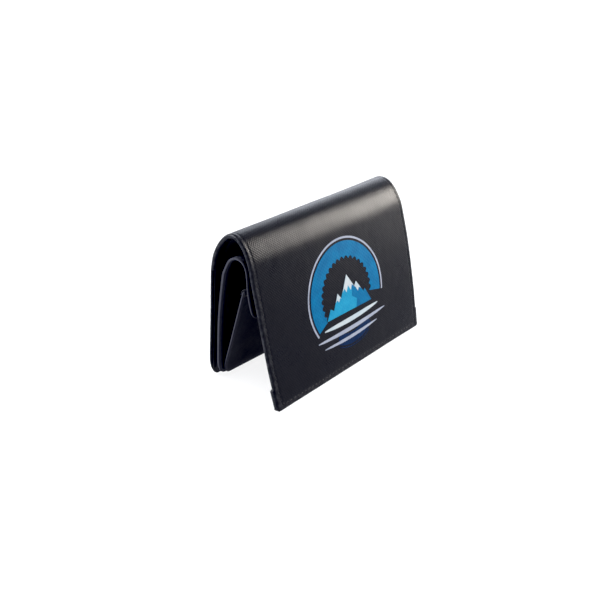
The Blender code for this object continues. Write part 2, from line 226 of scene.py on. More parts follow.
class Sheet:
    """A sheet of cloth along a section curve, with its own slow unevenness.

    place(s, x, d) is the point at length s, at x across, d mm below its outer face.
    """

    def __init__(self, line, uneven=0.0, seed=1.0, size=34.0, floor=None, still=()):
        self.line, self.uneven, self.seed, self.size, self.floor = line, uneven, seed, size, floor
        self.still = still  # (s, reach): lengths near which it lies still

    def lift(self, s, x):
        if not self.uneven:
            return 0.0
        k = 1.0
        for at, reach in self.still:
            k *= smooth(0.0, reach, abs(s - at))
        return self.uneven * k * wave(x, s, self.seed, self.size)

    def place(self, s, x, d=0.0):
        p = self.line.point(s) + self.line.normal(s) * (d + self.lift(s, x))
        if self.line is COVER:
            p = p + hang(s, x)
        z = p[1] if self.floor is None else max(p[1], self.floor)
        return world(x, p[0], z)


def add_attributes(mesh, cloth, wear_and_painted_sheen):
    a = mesh.attributes.new("cloth", "FLOAT_VECTOR", "POINT")
    a.data.foreach_set("vector", np.array(cloth, np.float32).ravel())
    b = mesh.attributes.new("wear_and_painted_sheen", "FLOAT", "POINT")
    b.data.foreach_set("value", np.array(wear_and_painted_sheen, np.float32))


def make_object(name, verts, faces, mat, cloth=None, wear_and_painted_sheen=None, flat_faces=(), keep_normals=None):
    mesh = bpy.data.meshes.new(name)
    mesh.from_pydata([tuple(v) for v in verts], [], faces)
    bm = bmesh.new()
    bm.from_mesh(mesh)
    bmesh.ops.recalc_face_normals(bm, faces=bm.faces)
    bm.to_mesh(mesh)
    bm.free()
    mesh.shade_smooth()
    add_attributes(mesh, cloth or [(v[0], v[1], v[2]) for v in verts], wear_and_painted_sheen or [0.0] * len(verts))
    obj = bpy.data.objects.new(name, mesh)
    bpy.context.scene.collection.objects.link(obj)
    if mat is not None:
        mesh.materials.append(mat)
    if keep_normals is not None:
        co = np.array([v[:] for v in verts])
        normals = np.zeros((len(verts), 3))
        flat = set(flat_faces)
        face_n = []
        for p in mesh.polygons:
            n = np.array(p.normal)
            face_n.append(n)
            if p.index not in flat:
                for v in p.vertices:
                    normals[v] += n * p.area
        for v, n in keep_normals.items():
            normals[v] = n
        length = np.linalg.norm(normals, axis=1, keepdims=True)
        normals = normals / np.maximum(length, 1e-12)
        loops = []
        for p in mesh.polygons:
            for v in p.vertices:
                loops.append(tuple(face_n[p.index]) if p.index in flat else tuple(normals[v]))
        mesh.normals_split_custom_set(loops)
    return obj


def closed_sheet(
    name, sheet, s_list, u_list, half, outer, inner, mat, cut_start=False, cut_end=False, rim=5,
    cloth_at=(0.0, 0.0), wear_and_sheen_width=1.4, square=0.75,
):  # fmt: skip
    """Closed solid between two depth fields over a grid, with a half-round rim.

    half(s, side) is the half width at s on a side; u_list runs from -1 to 1 in mm of the widest
    half width; outer(s, x), inner(s, x) are depths in mm. cut_start and cut_end mark an end that
    butts against another piece of the same sheet: it stays flat, with the curve's own normals.
    """
    widest = max(abs(u_list[0]), abs(u_list[-1]))
    ns, nu = len(s_list), len(u_list)
    verts, cloth, wear_and_painted_sheen = [], [], []

    def x_at(s, u):
        side = 1 if u >= 0 else -1
        h = half(s, side)
        rim_in = min(abs(u), widest)
        # lines near the edge keep their distance from it; the middle stretches
        from_edge = widest - rim_in
        return side * max(h - from_edge, 0.0) if from_edge < 12 else u * (h - 12) / (widest - 12)

    grid = {}
    for face_side, depth in (("o", outer), ("i", inner)):
        for i, s in enumerate(s_list):
            for j, u in enumerate(u_list):
                x = x_at(s, u)
                grid[face_side, i, j] = len(verts)
                verts.append(sheet.place(s, x, depth(s, x)))
                cloth.append(((s + cloth_at[0]) * MM, (x + cloth_at[1]) * MM, 0.0))
                wear_and_painted_sheen.append(0.0)
    faces = []
    for i in range(ns - 1):
        for j in range(nu - 1):
            a, b, c, d = (grid["o", i, j], grid["o", i, j + 1], grid["o", i + 1, j + 1], grid["o", i + 1, j])
            faces.append((a, b, c, d))
            a, b, c, d = (grid["i", i, j], grid["i", i, j + 1], grid["i", i + 1, j + 1], grid["i", i + 1, j])
            faces.append((d, c, b, a))
    loop = (
        [(0, j) for j in range(nu)]
        + [(i, nu - 1) for i in range(1, ns)]
        + [(ns - 1, j) for j in range(nu - 2, -1, -1)]
        + [(i, 0) for i in range(ns - 2, 0, -1)]
    )
    n = len(loop)
    flat = []
    param = [(s_list[i], x_at(s_list[i], u_list[j])) for i, j in loop]
    rings = []
    for k, (i, j) in enumerate(loop):
        o, q = grid["o", i, j], grid["i", i, j]
        before, after = param[k - 1], param[(k + 1) % n]
        at_start, at_end = i == 0 and cut_start, i == ns - 1 and cut_end
        on_side = j in (0, nu - 1)
        if (at_start or at_end) and on_side:
            before = after = None
        if before is None:
            out_s, out_x = 0.0, (1.0 if j else -1.0)
        else:
            ts, tx = after[0] - before[0], after[1] - before[1]
            m = math.hypot(ts, tx) or 1.0
            out_s, out_x = -tx / m, ts / m  # the loop runs with the sheet on its left
            if not on_side and (at_start or at_end):
                out_s = out_x = 0.0
        s = s_list[i]
        t = sheet.line.tangent(s)
        e = Vector((out_x, out_s * t[0], out_s * t[1]))
        co, ci = verts[o], verts[q]
        mid, r = (co + ci) / 2, (co - ci).length / 2
        ring = [o]
        bulge = 0.0 if e.length < 1e-6 else 1.0
        for m in range(1, rim):
            phi = math.pi * m / rim
            c, q_ = math.cos(phi), math.sin(phi)
            p = mid + (co - mid) * math.copysign(abs(c) ** square, c) + e * r * q_**square * bulge
            if sheet.floor is not None:
                p.z = max(p.z, sheet.floor * MM)
            ring.append(len(verts))
            verts.append(p)
            cloth.append(((param[k][0] + cloth_at[0] + out_s * r / MM * phi) * MM, (param[k][1] + cloth_at[1] + out_x * r / MM * phi) * MM, 0.0))
            # the rounded rim is lighter towards its crest: wear on the cover and slots, painted sheen on the inner
            # panel
            wear_and_painted_sheen.append(bulge * math.sin(phi))
        ring.append(q)
        rings.append((ring, at_start or at_end))
    for k in range(n):
        (ra, ca), (rb, cb) = rings[k], rings[(k + 1) % n]
        for m in range(rim):
            quad = (ra[m], ra[m + 1], rb[m + 1], rb[m])
            if ca and cb:
                flat.append(len(faces))
            faces.append(quad)
    # lighter band near the edges: wear, and on the inner panel's tarpaulin a painted sheen
    w_out = []
    for i, s in enumerate(s_list):
        for j, u in enumerate(u_list):
            x = x_at(s, u)
            d = half(s, 1 if x >= 0 else -1) - abs(x)
            if not cut_start:
                d = min(d, s - s_list[0])
            if not cut_end:
                d = min(d, s_list[-1] - s)
            w_out.append(math.exp(-d / wear_and_sheen_width))
    wear_and_painted_sheen[: ns * nu] = w_out
    wear_and_painted_sheen[ns * nu : 2 * ns * nu] = w_out
    keep = {}
    for cut, i in ((cut_start, 0), (cut_end, ns - 1)):
        if cut:
            nn = sheet.line.normal(s_list[i])
            for j in range(nu):
                keep[grid["o", i, j]] = (0.0, -nn[0], -nn[1])
                keep[grid["i", i, j]] = (0.0, nn[0], nn[1])
    return make_object(name, verts, faces, mat, cloth, wear_and_painted_sheen, flat, keep)


def corner_half(half, radius, s_edge, towards, tall=1.0):
    """Half width near an end with rounded corners; towards is +1 if the end is at larger s."""

    def width(s):
        d = (s_edge - s) * towards / tall
        if d >= radius:
            return half
        d = max(d, 0.0)
        return half - (radius - math.sqrt(max(radius**2 - (radius - d) ** 2, 0.0)))

    return width


# ------------------------------------------------------------------ materials
def nodes_of(name):
    mat = bpy.data.materials.new(name)
    mat.use_nodes = True
    tree = mat.node_tree
    return mat, tree, tree.nodes["Principled BSDF"]


def node(tree, kind, **values):
    n = tree.nodes.new(kind)
    for key, value in values.items():
        if key.startswith("in_"):
            n.inputs[int(key[3:])].default_value = value
        else:
            setattr(n, key, value)
    return n


def math_node(tree, op, a, b=None, clamp=False):
    n = tree.nodes.new("ShaderNodeMath")
    n.operation, n.use_clamp = op, clamp
    for i, v in enumerate((a, b)):
        if v is None:
            continue
        if isinstance(v, (int, float)):
            n.inputs[i].default_value = v
        else:
            tree.links.new(v, n.inputs[i])
    return n.outputs[0]


def mix_colour(tree, fac, a, b):
    n = tree.nodes.new("ShaderNodeMix")
    n.data_type = "RGBA"
    tree.links.new(fac, n.inputs[0])
    for i, v in ((6, a), (7, b)):
        if isinstance(v, tuple):
            n.inputs[i].default_value = (*v, 1.0)
        else:
            tree.links.new(v, n.inputs[i])
    return n.outputs[2]


def fitted(tree, value, lo, hi, to_lo, to_hi):
    n = tree.nodes.new("ShaderNodeMapRange")
    tree.links.new(value, n.inputs[0])
    for i, v in zip(range(1, 5), (lo, hi, to_lo, to_hi)):
        n.inputs[i].default_value = v
    return n.outputs[0]


def noise_of(tree, vector, scale, detail=3.0, rough=0.55):
    n = tree.nodes.new("ShaderNodeTexNoise")
    n.inputs["Scale"].default_value = scale
    n.inputs["Detail"].default_value = detail
    n.inputs["Roughness"].default_value = rough
    tree.links.new(vector, n.inputs["Vector"])
    return n.outputs[0]


def attribute(tree, name, kind="Vector"):
    n = tree.nodes.new("ShaderNodeAttribute")
    n.attribute_name = name
    return n.outputs[kind]


def woven(tree, pitch_u, pitch_v):
    """Plain weave from the cloth coordinates: (height, ribs), the height from -1 to 1, the ribs, warp and weft
    multiplied, from 0 to 1.
    """
    split = tree.nodes.new("ShaderNodeSeparateXYZ")
    tree.links.new(attribute(tree, "cloth"), split.inputs[0])
    u = math_node(tree, "MULTIPLY", split.outputs[0], math.pi / (pitch_u * MM))
    v = math_node(tree, "MULTIPLY", split.outputs[1], math.pi / (pitch_v * MM))
    cu, cv = math_node(tree, "COSINE", u), math_node(tree, "COSINE", v)
    su, sv = math_node(tree, "SINE", u), math_node(tree, "SINE", v)
    over = math_node(tree, "MULTIPLY", cu, cv)
    ribs = math_node(tree, "MULTIPLY", math_node(tree, "ABSOLUTE", su), math_node(tree, "ABSOLUTE", sv))
    return over, ribs


def tarpaulin(name, colour, light, rough, pitch=0.74, bump=0.5, specular=0.2, coat=0.0, coat_rough=0.2, wear_and_sheen_range=(0.42, 0.62)):
    """PVC-coated scrim: the yarns show through a glossy skin; edges are lighter, as scuffed wear, and where the range
    leaves no gaps the same lighter band is a painted sheen.
    """
    mat, tree, shader = nodes_of(name)
    cloth = attribute(tree, "cloth")
    over, ribs = woven(tree, pitch, pitch)
    blotch = noise_of(tree, cloth, 55.0, 4.0)
    fine = noise_of(tree, cloth, 1500.0, 2.0)
    edge_speckle = noise_of(tree, cloth, 420.0, 5.0, 0.7)
    wear_and_painted_sheen = attribute(tree, "wear_and_painted_sheen", "Fac")
    worn_and_painted_sheen = math_node(tree, "MULTIPLY", wear_and_painted_sheen, fitted(tree, edge_speckle, *wear_and_sheen_range, 0.0, 1.0), True)
    base = mix_colour(tree, fitted(tree, over, -1.0, 1.0, 0.0, 1.0), colour, tuple(min(1, c * 1.35) for c in colour))
    base = mix_colour(tree, fitted(tree, blotch, 0.3, 0.7, 0.0, 0.5), base, tuple(c * 0.75 for c in colour))
    # lighter edge colour: speckled scuff wear on the cover and slots; on the inner panel it is an unbroken band, a
    # painted sheen along the edges
    base = mix_colour(tree, math_node(tree, "MULTIPLY", worn_and_painted_sheen, 0.55), base, light)
    tree.links.new(base, shader.inputs["Base Color"])
    r = math_node(tree, "ADD", fitted(tree, blotch, 0.25, 0.75, rough - 0.05, rough + 0.05), fitted(tree, fine, 0.3, 0.7, -0.03, 0.03))
    r = math_node(tree, "ADD", r, math_node(tree, "MULTIPLY", worn_and_painted_sheen, 0.15))
    tree.links.new(r, shader.inputs["Roughness"])
    shader.inputs["Specular IOR Level"].default_value = specular
    shader.inputs["Coat Weight"].default_value = coat
    shader.inputs["Coat Roughness"].default_value = coat_rough
    height = math_node(tree, "ADD", math_node(tree, "MULTIPLY", over, 0.5), math_node(tree, "MULTIPLY", ribs, 0.7))
    height = math_node(tree, "ADD", height, math_node(tree, "MULTIPLY", fine, 0.6))
    b = tree.nodes.new("ShaderNodeBump")
    b.inputs["Strength"].default_value = bump
    b.inputs["Distance"].default_value = 0.00006
    tree.links.new(height, b.inputs["Height"])
    slow = tree.nodes.new("ShaderNodeBump")
    slow.inputs["Strength"].default_value = 0.35
    slow.inputs["Distance"].default_value = 0.0006
    tree.links.new(noise_of(tree, cloth, 90.0, 2.0), slow.inputs["Height"])
    tree.links.new(slow.outputs[0], b.inputs["Normal"])
    tree.links.new(b.outputs[0], shader.inputs["Normal"])
    return mat


def woven_cloth(name, colour, light, pitch=0.55, rough=0.85, sheen=0.25):
    mat, tree, shader = nodes_of(name)
    cloth = attribute(tree, "cloth")
    over, ribs = woven(tree, pitch, pitch)
    fuzz = noise_of(tree, cloth, 1800.0, 3.0)
    blotch = noise_of(tree, cloth, 70.0, 3.0)
    base = mix_colour(tree, fitted(tree, over, -1.0, 1.0, 0.0, 1.0), colour, light)
    base = mix_colour(tree, fitted(tree, blotch, 0.3, 0.7, 0.0, 0.5), base, colour)
    tree.links.new(base, shader.inputs["Base Color"])
    tree.links.new(fitted(tree, fuzz, 0.2, 0.8, rough - 0.08, rough + 0.08), shader.inputs["Roughness"])
    shader.inputs["Sheen Weight"].default_value = sheen
    shader.inputs["Sheen Roughness"].default_value = 0.5
    shader.inputs["Specular IOR Level"].default_value = 0.12
    height = math_node(tree, "ADD", math_node(tree, "MULTIPLY", over, 0.8), math_node(tree, "MULTIPLY", fuzz, 0.6))
    height = math_node(tree, "ADD", height, ribs)
    b = tree.nodes.new("ShaderNodeBump")
    b.inputs["Strength"].default_value = 0.6
    b.inputs["Distance"].default_value = 0.00005
    tree.links.new(height, b.inputs["Height"])
    tree.links.new(b.outputs[0], shader.inputs["Normal"])
    return mat


def yarn(name, colour, light):
    """Twisted thread: plies wind round it."""
    mat, tree, shader = nodes_of(name)
    cloth = attribute(tree, "cloth")
    split = tree.nodes.new("ShaderNodeSeparateXYZ")
    tree.links.new(cloth, split.inputs[0])
    turn = math_node(tree, "ADD", math_node(tree, "MULTIPLY", split.outputs[0], 9000.0), split.outputs[1])
    ply = math_node(tree, "SINE", turn)
    fuzz = noise_of(tree, cloth, 2500.0, 2.0)
    base = mix_colour(tree, fitted(tree, ply, -1.0, 1.0, 0.0, 1.0), colour, light)
    tree.links.new(base, shader.inputs["Base Color"])
    tree.links.new(fitted(tree, fuzz, 0.2, 0.8, 0.45, 0.7), shader.inputs["Roughness"])
    shader.inputs["Sheen Weight"].default_value = 0.02
    shader.inputs["Specular IOR Level"].default_value = 0.22
    b = tree.nodes.new("ShaderNodeBump")
    b.inputs["Strength"].default_value = 0.6
    b.inputs["Distance"].default_value = 0.00006
    tree.links.new(math_node(tree, "ADD", ply, fuzz), b.inputs["Height"])
    tree.links.new(b.outputs[0], shader.inputs["Normal"])
    return mat


def plated(name, colour):
    mat, tree, shader = nodes_of(name)
    coords = tree.nodes.new("ShaderNodeTexCoord")
    grain = noise_of(tree, coords.outputs["Object"], 2600.0, 4.0)
    blotch = noise_of(tree, coords.outputs["Object"], 420.0, 3.0)
    base = mix_colour(tree, fitted(tree, blotch, 0.35, 0.7, 0.0, 1.0), colour, tuple(c * 0.6 for c in colour))
    tree.links.new(base, shader.inputs["Base Color"])
    shader.inputs["Metallic"].default_value = 1.0
    tree.links.new(fitted(tree, grain, 0.2, 0.8, 0.2, 0.42), shader.inputs["Roughness"])
    b = tree.nodes.new("ShaderNodeBump")
    b.inputs["Strength"].default_value = 0.2
    b.inputs["Distance"].default_value = 0.00002
    tree.links.new(grain, b.inputs["Height"])
    tree.links.new(b.outputs[0], shader.inputs["Normal"])
    return mat


def ink(name, colour, deep, under, cover=0.93, rough=0.42):
    """Screen print on coated cloth: slightly uneven, rubbed through to the cloth in specks."""
    mat, tree, shader = nodes_of(name)
    cloth = attribute(tree, "cloth")
    over, ribs = woven(tree, 1.05, 1.05)
    blotch = noise_of(tree, cloth, 160.0, 4.0)
    specks = noise_of(tree, cloth, 1100.0, 5.0, 0.75)
    base = mix_colour(tree, fitted(tree, blotch, 0.3, 0.72, 0.0, 1.0), colour, deep)
    rubbed = math_node(
        tree, "MULTIPLY", fitted(tree, specks, 0.62, 0.7, 0.0, 1.0), fitted(tree, over, -0.2, 0.8, 0.25, 1.0)
    )
    base = mix_colour(tree, math_node(tree, "MULTIPLY", rubbed, cover), base, under)
    tree.links.new(base, shader.inputs["Base Color"])
    tree.links.new(fitted(tree, blotch, 0.2, 0.8, rough - 0.06, rough + 0.08), shader.inputs["Roughness"])
    shader.inputs["Specular IOR Level"].default_value = 0.06
    b = tree.nodes.new("ShaderNodeBump")
    b.inputs["Strength"].default_value = 0.35
    b.inputs["Distance"].default_value = 0.00005
    tree.links.new(math_node(tree, "ADD", over, math_node(tree, "MULTIPLY", specks, 0.7)), b.inputs["Height"])
    tree.links.new(b.outputs[0], shader.inputs["Normal"])
    return mat


M_COVER = tarpaulin("cover_tarpaulin", (0.0027, 0.0029, 0.0047), (0.035, 0.036, 0.042), 0.31, 0.74, 0.85, 0.088)
# inner panel, coin flap and coin pocket front: the base, darker than the cover's, is the tarpaulin's black with painted
# shade for the inside of the fold added; the lighter edge colour, laid as an unbroken band, is a painted sheen along
# the edges
M_PANEL = tarpaulin("panel_tarpaulin", (0.0008, 0.0009, 0.0019), (0.06, 0.061, 0.076), 0.42, 0.7, 0.5, 0.02, wear_and_sheen_range=(-0.1, 0.5))
M_SLOT = tarpaulin("slot_tarpaulin", (0.0045, 0.0046, 0.0062), (0.04, 0.04, 0.046), 0.44, 0.7, 0.5, 0.2)
M_CLOTH = woven_cloth("lining_cloth", (0.0018, 0.0018, 0.0024), (0.006, 0.006, 0.0075), sheen=0.06)
M_GUSSET = woven_cloth("gusset_cloth", (0.0015, 0.0015, 0.002), (0.005, 0.005, 0.0065), 0.5, 0.7, 0.04)
M_TAPE = woven_cloth("mouth_tape", (0.002, 0.002, 0.003), (0.006, 0.006, 0.009), 0.6, 0.75, 0.03)
M_THREAD = yarn("thread", (0.0018, 0.002, 0.004), (0.0065, 0.007, 0.0105))
M_METAL = plated("press_stud_metal", (0.34, 0.34, 0.36))
M_INK_BLUE = ink("print_blue", (0.002, 0.105, 0.235), (0.0015, 0.07, 0.175), (0.005, 0.012, 0.03))
M_INK_DEEP = ink("print_deep_blue", (0.002, 0.014, 0.052), (0.0015, 0.009, 0.036), (0.003, 0.006, 0.016))
M_INK_CYAN = ink("print_cyan", (0.014, 0.2, 0.34), (0.006, 0.15, 0.29), (0.005, 0.03, 0.07))
M_INK_WHITE = ink("print_white", (0.35, 0.39, 0.42), (0.26, 0.33, 0.39), (0.03, 0.07, 0.12))
M_INK_PALE = ink("print_pale", (0.25, 0.275, 0.345), (0.18, 0.205, 0.27), (0.02, 0.02, 0.035))

# ------------------------------------------------------------------ cover
TARP, GAP, LINING = 1.0, 0.3, 0.6
HEM = 2.25  # thickness of the turned edge
HEM_WIDTH = 5.0
SEAM = 2.6
S_BACK_HEM = COVER.nearest(41.8, 61.0)  # where the arch's turned edge ends on the back

cover = Sheet(COVER, 0.32, 3.1, 38.0, floor=0.02, still=((S_APEX, 6.0),))


def groove(e, at=SEAM, depth=0.16, width=0.55):
    return depth * math.exp(-(((e - at) / width) ** 2))


def front_half(s, side):
    h = corner_half(60.0 - HEM / 2, 0.2, S_END - HEM / 2, 1)(s)
    h += 0.55 * smooth(S_END - 11.0, S_END - 10.4, s)  # the bottom's turned cloth stands out a little
    return h


def back_half(s, side):
    # the turned edge is thick over the arch and thin down the back
    r = 0.62 + (HEM / 2 - 0.62) * smooth(S_BACK_HEM - 0.5, S_BACK_HEM + 0.5, s)
    h = 60.0 - r - 0.2 * (1 - smooth(S_BACK_HEM - 0.5, S_BACK_HEM + 0.2, s))
    return min(h, corner_half(60.0 - 0.62 - 0.2, 5.0, 0.62, -1, 2.3)(s))


def front_edge(s, x):
    return min(60.0 - abs(x), S_END - s)


def front_outer(s, x):
    e = front_edge(s, x)
    return groove(e) + 0.0 * s


def front_inner(s, x):
    e = front_edge(s, x)
    d = TARP + (HEM - TARP) * (1 - smooth(HEM_WIDTH - 0.25, HEM_WIDTH + 0.25, e))
    # the bottom's turned cloth lies over the sides' at the corners
    return d + 0.85 * smooth(S_END - 11.0, S_END - 10.4, s) * smooth(50.6, 51.4, abs(x))


def back_edge(s, x):
    return min(60.0 - abs(x), s)


def back_outer(s, x):
    return groove(back_edge(s, x))


def back_inner(s, x):
    e = 60.0 - abs(x)
    thick = HEM * smooth(S_BACK_HEM - 0.5, S_BACK_HEM + 0.5, s) + 1.24 * (1 - smooth(S_BACK_HEM - 0.5, S_BACK_HEM + 0.5, s))
    return TARP + (thick - TARP) * (1 - smooth(HEM_WIDTH - 0.25, HEM_WIDTH + 0.25, min(e, s + 0.4)))


EDGE_STEPS = (0.0, 0.5, 1.1, 1.5, 1.8, 2.2, 2.7, 3.2, 3.6, 4.3, 4.75, 5.0, 5.25, 6.4, 8.6, 12.0)
u_cover = edged(60.0 - HEM / 2, tuple(max(e - HEM / 2, 0.0) for e in (1.125, 1.5, 1.8, 2.1, 2.4, 2.7, 3.0, 3.3, 3.7, 4.3, 4.75, 5.0, 5.25, 6.4, 8.6, 13.1)), 3.6)
end_lines = [S_END - e for e in (13.0, 11.4, 11.0, 10.7, 10.4, 9.6, 8.2, 6.4, 5.25, 5.0, 4.75, 4.3, 3.7, 3.3, 3.0, 2.7, 2.4, 2.1, 1.75, 1.4, 1.125)]
s_front = stations(S_APEX, S_FRONT_BEND + 14, 0.9) + [
    v for v in stations(S_FRONT_BEND + 16.0, end_lines[0] - 1.0, 2.4)
] + end_lines  # fmt: skip
foot_lines = [0.62, 0.7, 0.85, 1.1, 1.5, 1.9, 2.2, 2.5, 2.8, 3.2, 3.8, 4.5, 5.2, 6.2, 7.2, 8.4, 9.6, 10.8, 12.2]
s_back = foot_lines + stations(14.0, COVER.nearest(42.95, BACK_FLAT), 3.0) + stations(
    COVER.nearest(42.95, BACK_FLAT) + 2.0, S_BACK_HEM - 1.5, 1.5
) + stations(S_BACK_HEM - 0.9, S_BACK_HEM + 1.2, 0.3) + stations(S_BACK_HEM + 1.9, S_APEX, 0.9)  # fmt: skip

cover_front = closed_sheet(
    "cover_front_half", cover, s_front, u_cover, front_half, front_outer, front_inner, M_COVER, cut_start=True,
    rim=7,
)
cover_back = closed_sheet(
    "cover_back_half", cover, s_back, u_cover, back_half, back_outer, back_inner, M_COVER, cut_end=True, rim=7,
)
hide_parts("cover_back_panel")
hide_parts("cover_front_panel", "cover_spine")


def on_back(obj):
    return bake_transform(obj)


def on_front(obj):
    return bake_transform(obj)


on_back(cover_back)
on_front(cover_front)

# ------------------------------------------------------------------ lining
lining = Sheet(COVER, 0.12, 9.4, 30.0, still=((S_APEX, 6.0),))
u_lining = edged(57.0 - 0.3, (0.0, 0.6, 1.6, 12.0), 4.0)
l_near, l_far = TARP + GAP, TARP + GAP + LINING
lining_front = closed_sheet(
    "lining_front_half", lining, stations(S_APEX, S_END - 2.3, 2.2), u_lining, lambda s, side: 56.7,
    lambda s, x: l_near, lambda s, x: l_far, M_CLOTH, cut_start=True, rim=3,
)  # fmt: skip
lining_back = closed_sheet(
    "lining_back_half", lining, stations(S_BACK_HEM + 0.6, S_APEX, 1.8), u_lining, lambda s, side: 56.7,
    lambda s, x: l_near, lambda s, x: l_far, M_CLOTH, cut_end=True, rim=3,
)  # fmt: skip
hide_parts("flap_lining", "spine_lining")
on_front(lining_front)
on_back(lining_back)


# ------------------------------------------------------------------ stitches
def capsule(a, b, up, radius, sides=8, rings=4):
    """A stitch from a to b: a plump closed rod whose ends go down into the cloth."""
    axis = b - a
    length = axis.length
    axis.normalize()
    side = axis.cross(up).normalized()
    up = side.cross(axis)
    verts, faces, cloth = [], [], []
    n = 2 * rings + 1
    for i in range(n):
        t = i / (n - 1)
        bow = math.sin(math.pi * t)
        r = radius * (0.35 + 0.65 * bow**0.5) if 0 < i < n - 1 else radius * 0.2
        centre = a.lerp(b, t) + up * radius * (0.9 * bow**0.6 - 0.8)
        for k in range(sides):
            ang = 2 * math.pi * k / sides
            verts.append(centre + side * math.cos(ang) * r + up * math.sin(ang) * r)
            cloth.append((t * length, ang, 0.0))
    for i in range(n - 1):
        for k in range(sides):
            m = (k + 1) % sides
            faces.append((i * sides + k, i * sides + m, (i + 1) * sides + m, (i + 1) * sides + k))
    faces.append(tuple(range(sides))[::-1])
    faces.append(tuple(range((n - 1) * sides, n * sides)))
    return verts, faces, cloth


def stitches(name, path, pitch=2.7, gap=0.55, radius=0.22, body=None, attach=None, mat=None):
    """A row of lock stitches along a path of (position, outward) samples."""
    pts = [p for p, _ in path]
    at = [0.0]
    for a, b in zip(pts, pts[1:]):
        at.append(at[-1] + (b - a).length / MM)
    total = at[-1]
    count = max(1, int(total / pitch))
    pitch = total / count
    P, U = np.array([p[:] for p in pts]), np.array([u[:] for _, u in path])

    def sample(s):
        p = Vector([np.interp(s, at, P[:, i]) for i in range(3)])
        u = Vector([np.interp(s, at, U[:, i]) for i in range(3)]).normalized()
        return p, u

    verts, faces, cloth = [], [], []
    for i in range(count):
        slant = 0.10 + random.uniform(-0.05, 0.05)
        a, ua = sample(i * pitch + gap / 2)
        b, ub = sample((i + 1) * pitch - gap / 2)
        along = (b - a).normalized()
        side = along.cross(ua).normalized()
        v, f, c = capsule(a + side * slant * MM, b - side * slant * MM, (ua + ub).normalized(), radius * MM)
        k = len(verts)
        verts += v
        cloth += c
        faces += [tuple(x + k for x in q) for q in f]
    obj = make_object(name, verts, faces, mat or M_THREAD, cloth)
    if body:
        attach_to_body(obj, body)
    if attach:
        attach(obj)
    return obj


def path_on(sheet, pairs, depth=None, inside=False):
    """Samples along (s, x) pairs on a sheet's outer face, or on its inner one."""
    out = []
    for s, x in pairs:
        d = depth(s, x) if callable(depth) else (depth or 0.0)
        n = sheet.line.normal(s)
        up = Vector((0.0, -n[0], -n[1])) * (-1 if inside else 1)
        out.append((sheet.place(s, x, d), up))
    return out


def u_path(s_open, s_end, half, radius=2.0, step=1.0, left_shift=0.0, tall=1.0):
    """Down one side, round a corner, across at s_end, round, and back up the other side."""
    way = 1 if s_end > s_open else -1
    s_turn = s_end - way * radius * tall
    n = max(2, int(abs(s_turn - s_open) / step))
    down = [s_open + (s_turn - s_open) * i / n for i in range(n + 1)]
    corner = [math.pi / 2 * k / 9 for k in range(1, 10)]
    left = [(s, -half + left_shift) for s in down]
    left += [(s_turn + way * radius * tall * math.sin(a), -half + left_shift + radius * (1 - math.cos(a))) for a in corner]
    right = [(s, -x) for s, x in ((s, x - left_shift) for s, x in left)]
    m = max(2, int((2 * half - 2 * radius) / step))
    x0 = -half + radius
    across = [(s_end, x0 + (2 * half - 2 * radius) * i / m) for i in range(1, m)]
    return left + across + right[::-1]


flap_path = u_path(S_APEX + 0.4, S_END - SEAM, 60.0 - SEAM)
stitch_flap = stitches("stitches_flap", path_on(cover, flap_path, front_outer), attach=on_front)
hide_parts("flap_seam_thread", "spine_seam_thread_left", "spine_seam_thread_right")
back_path = u_path(S_APEX - 0.4, SEAM + 0.2, 60.0 - SEAM, 4.6, tall=2.2)
stitches("stitches_back", path_on(cover, back_path, back_outer), attach=on_back)

# the same seam's inner side, over the turned edge
inner_pairs = u_path(S_APEX + 0.4, S_END - SEAM, 60.0 - SEAM)
stitches("stitches_flap_inner", path_on(cover, inner_pairs, front_inner, True), attach=on_front)
for side in (-1, 1):
    pairs = [(s, side * (60.0 - SEAM)) for s in stations(S_BACK_HEM + 1.0, S_APEX - 0.4, 1.0)]
    stitches(
        f"stitches_arch_inner_{'left' if side < 0 else 'right'}",
        path_on(cover, pairs, lambda s, x: back_inner(s, x) - 0.14, True), attach=on_back, radius=0.18,
    )  # fmt: skip

# a frayed thread end at the lower left corner
tail_verts, tail_faces, tail_cloth = [], [], []
for a, b in (((1.9, -59.4, 1.0), (1.6, -61.3, 1.2)), ((1.7, -61.1, 1.2), (2.3, -61.9, 1.5))):
    v, f, c = capsule(cover.place(S_END - a[0], a[1], a[2]), cover.place(S_END - b[0], b[1], b[2]), Vector((0, -1, 0)), 0.26 * MM)
    k = len(tail_verts)
    tail_verts += v
    tail_cloth += c
    tail_faces += [tuple(i + k for i in q) for q in f]
tail = make_object("thread_end", tail_verts, tail_faces, M_THREAD, tail_cloth)
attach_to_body(tail, "front_flap")

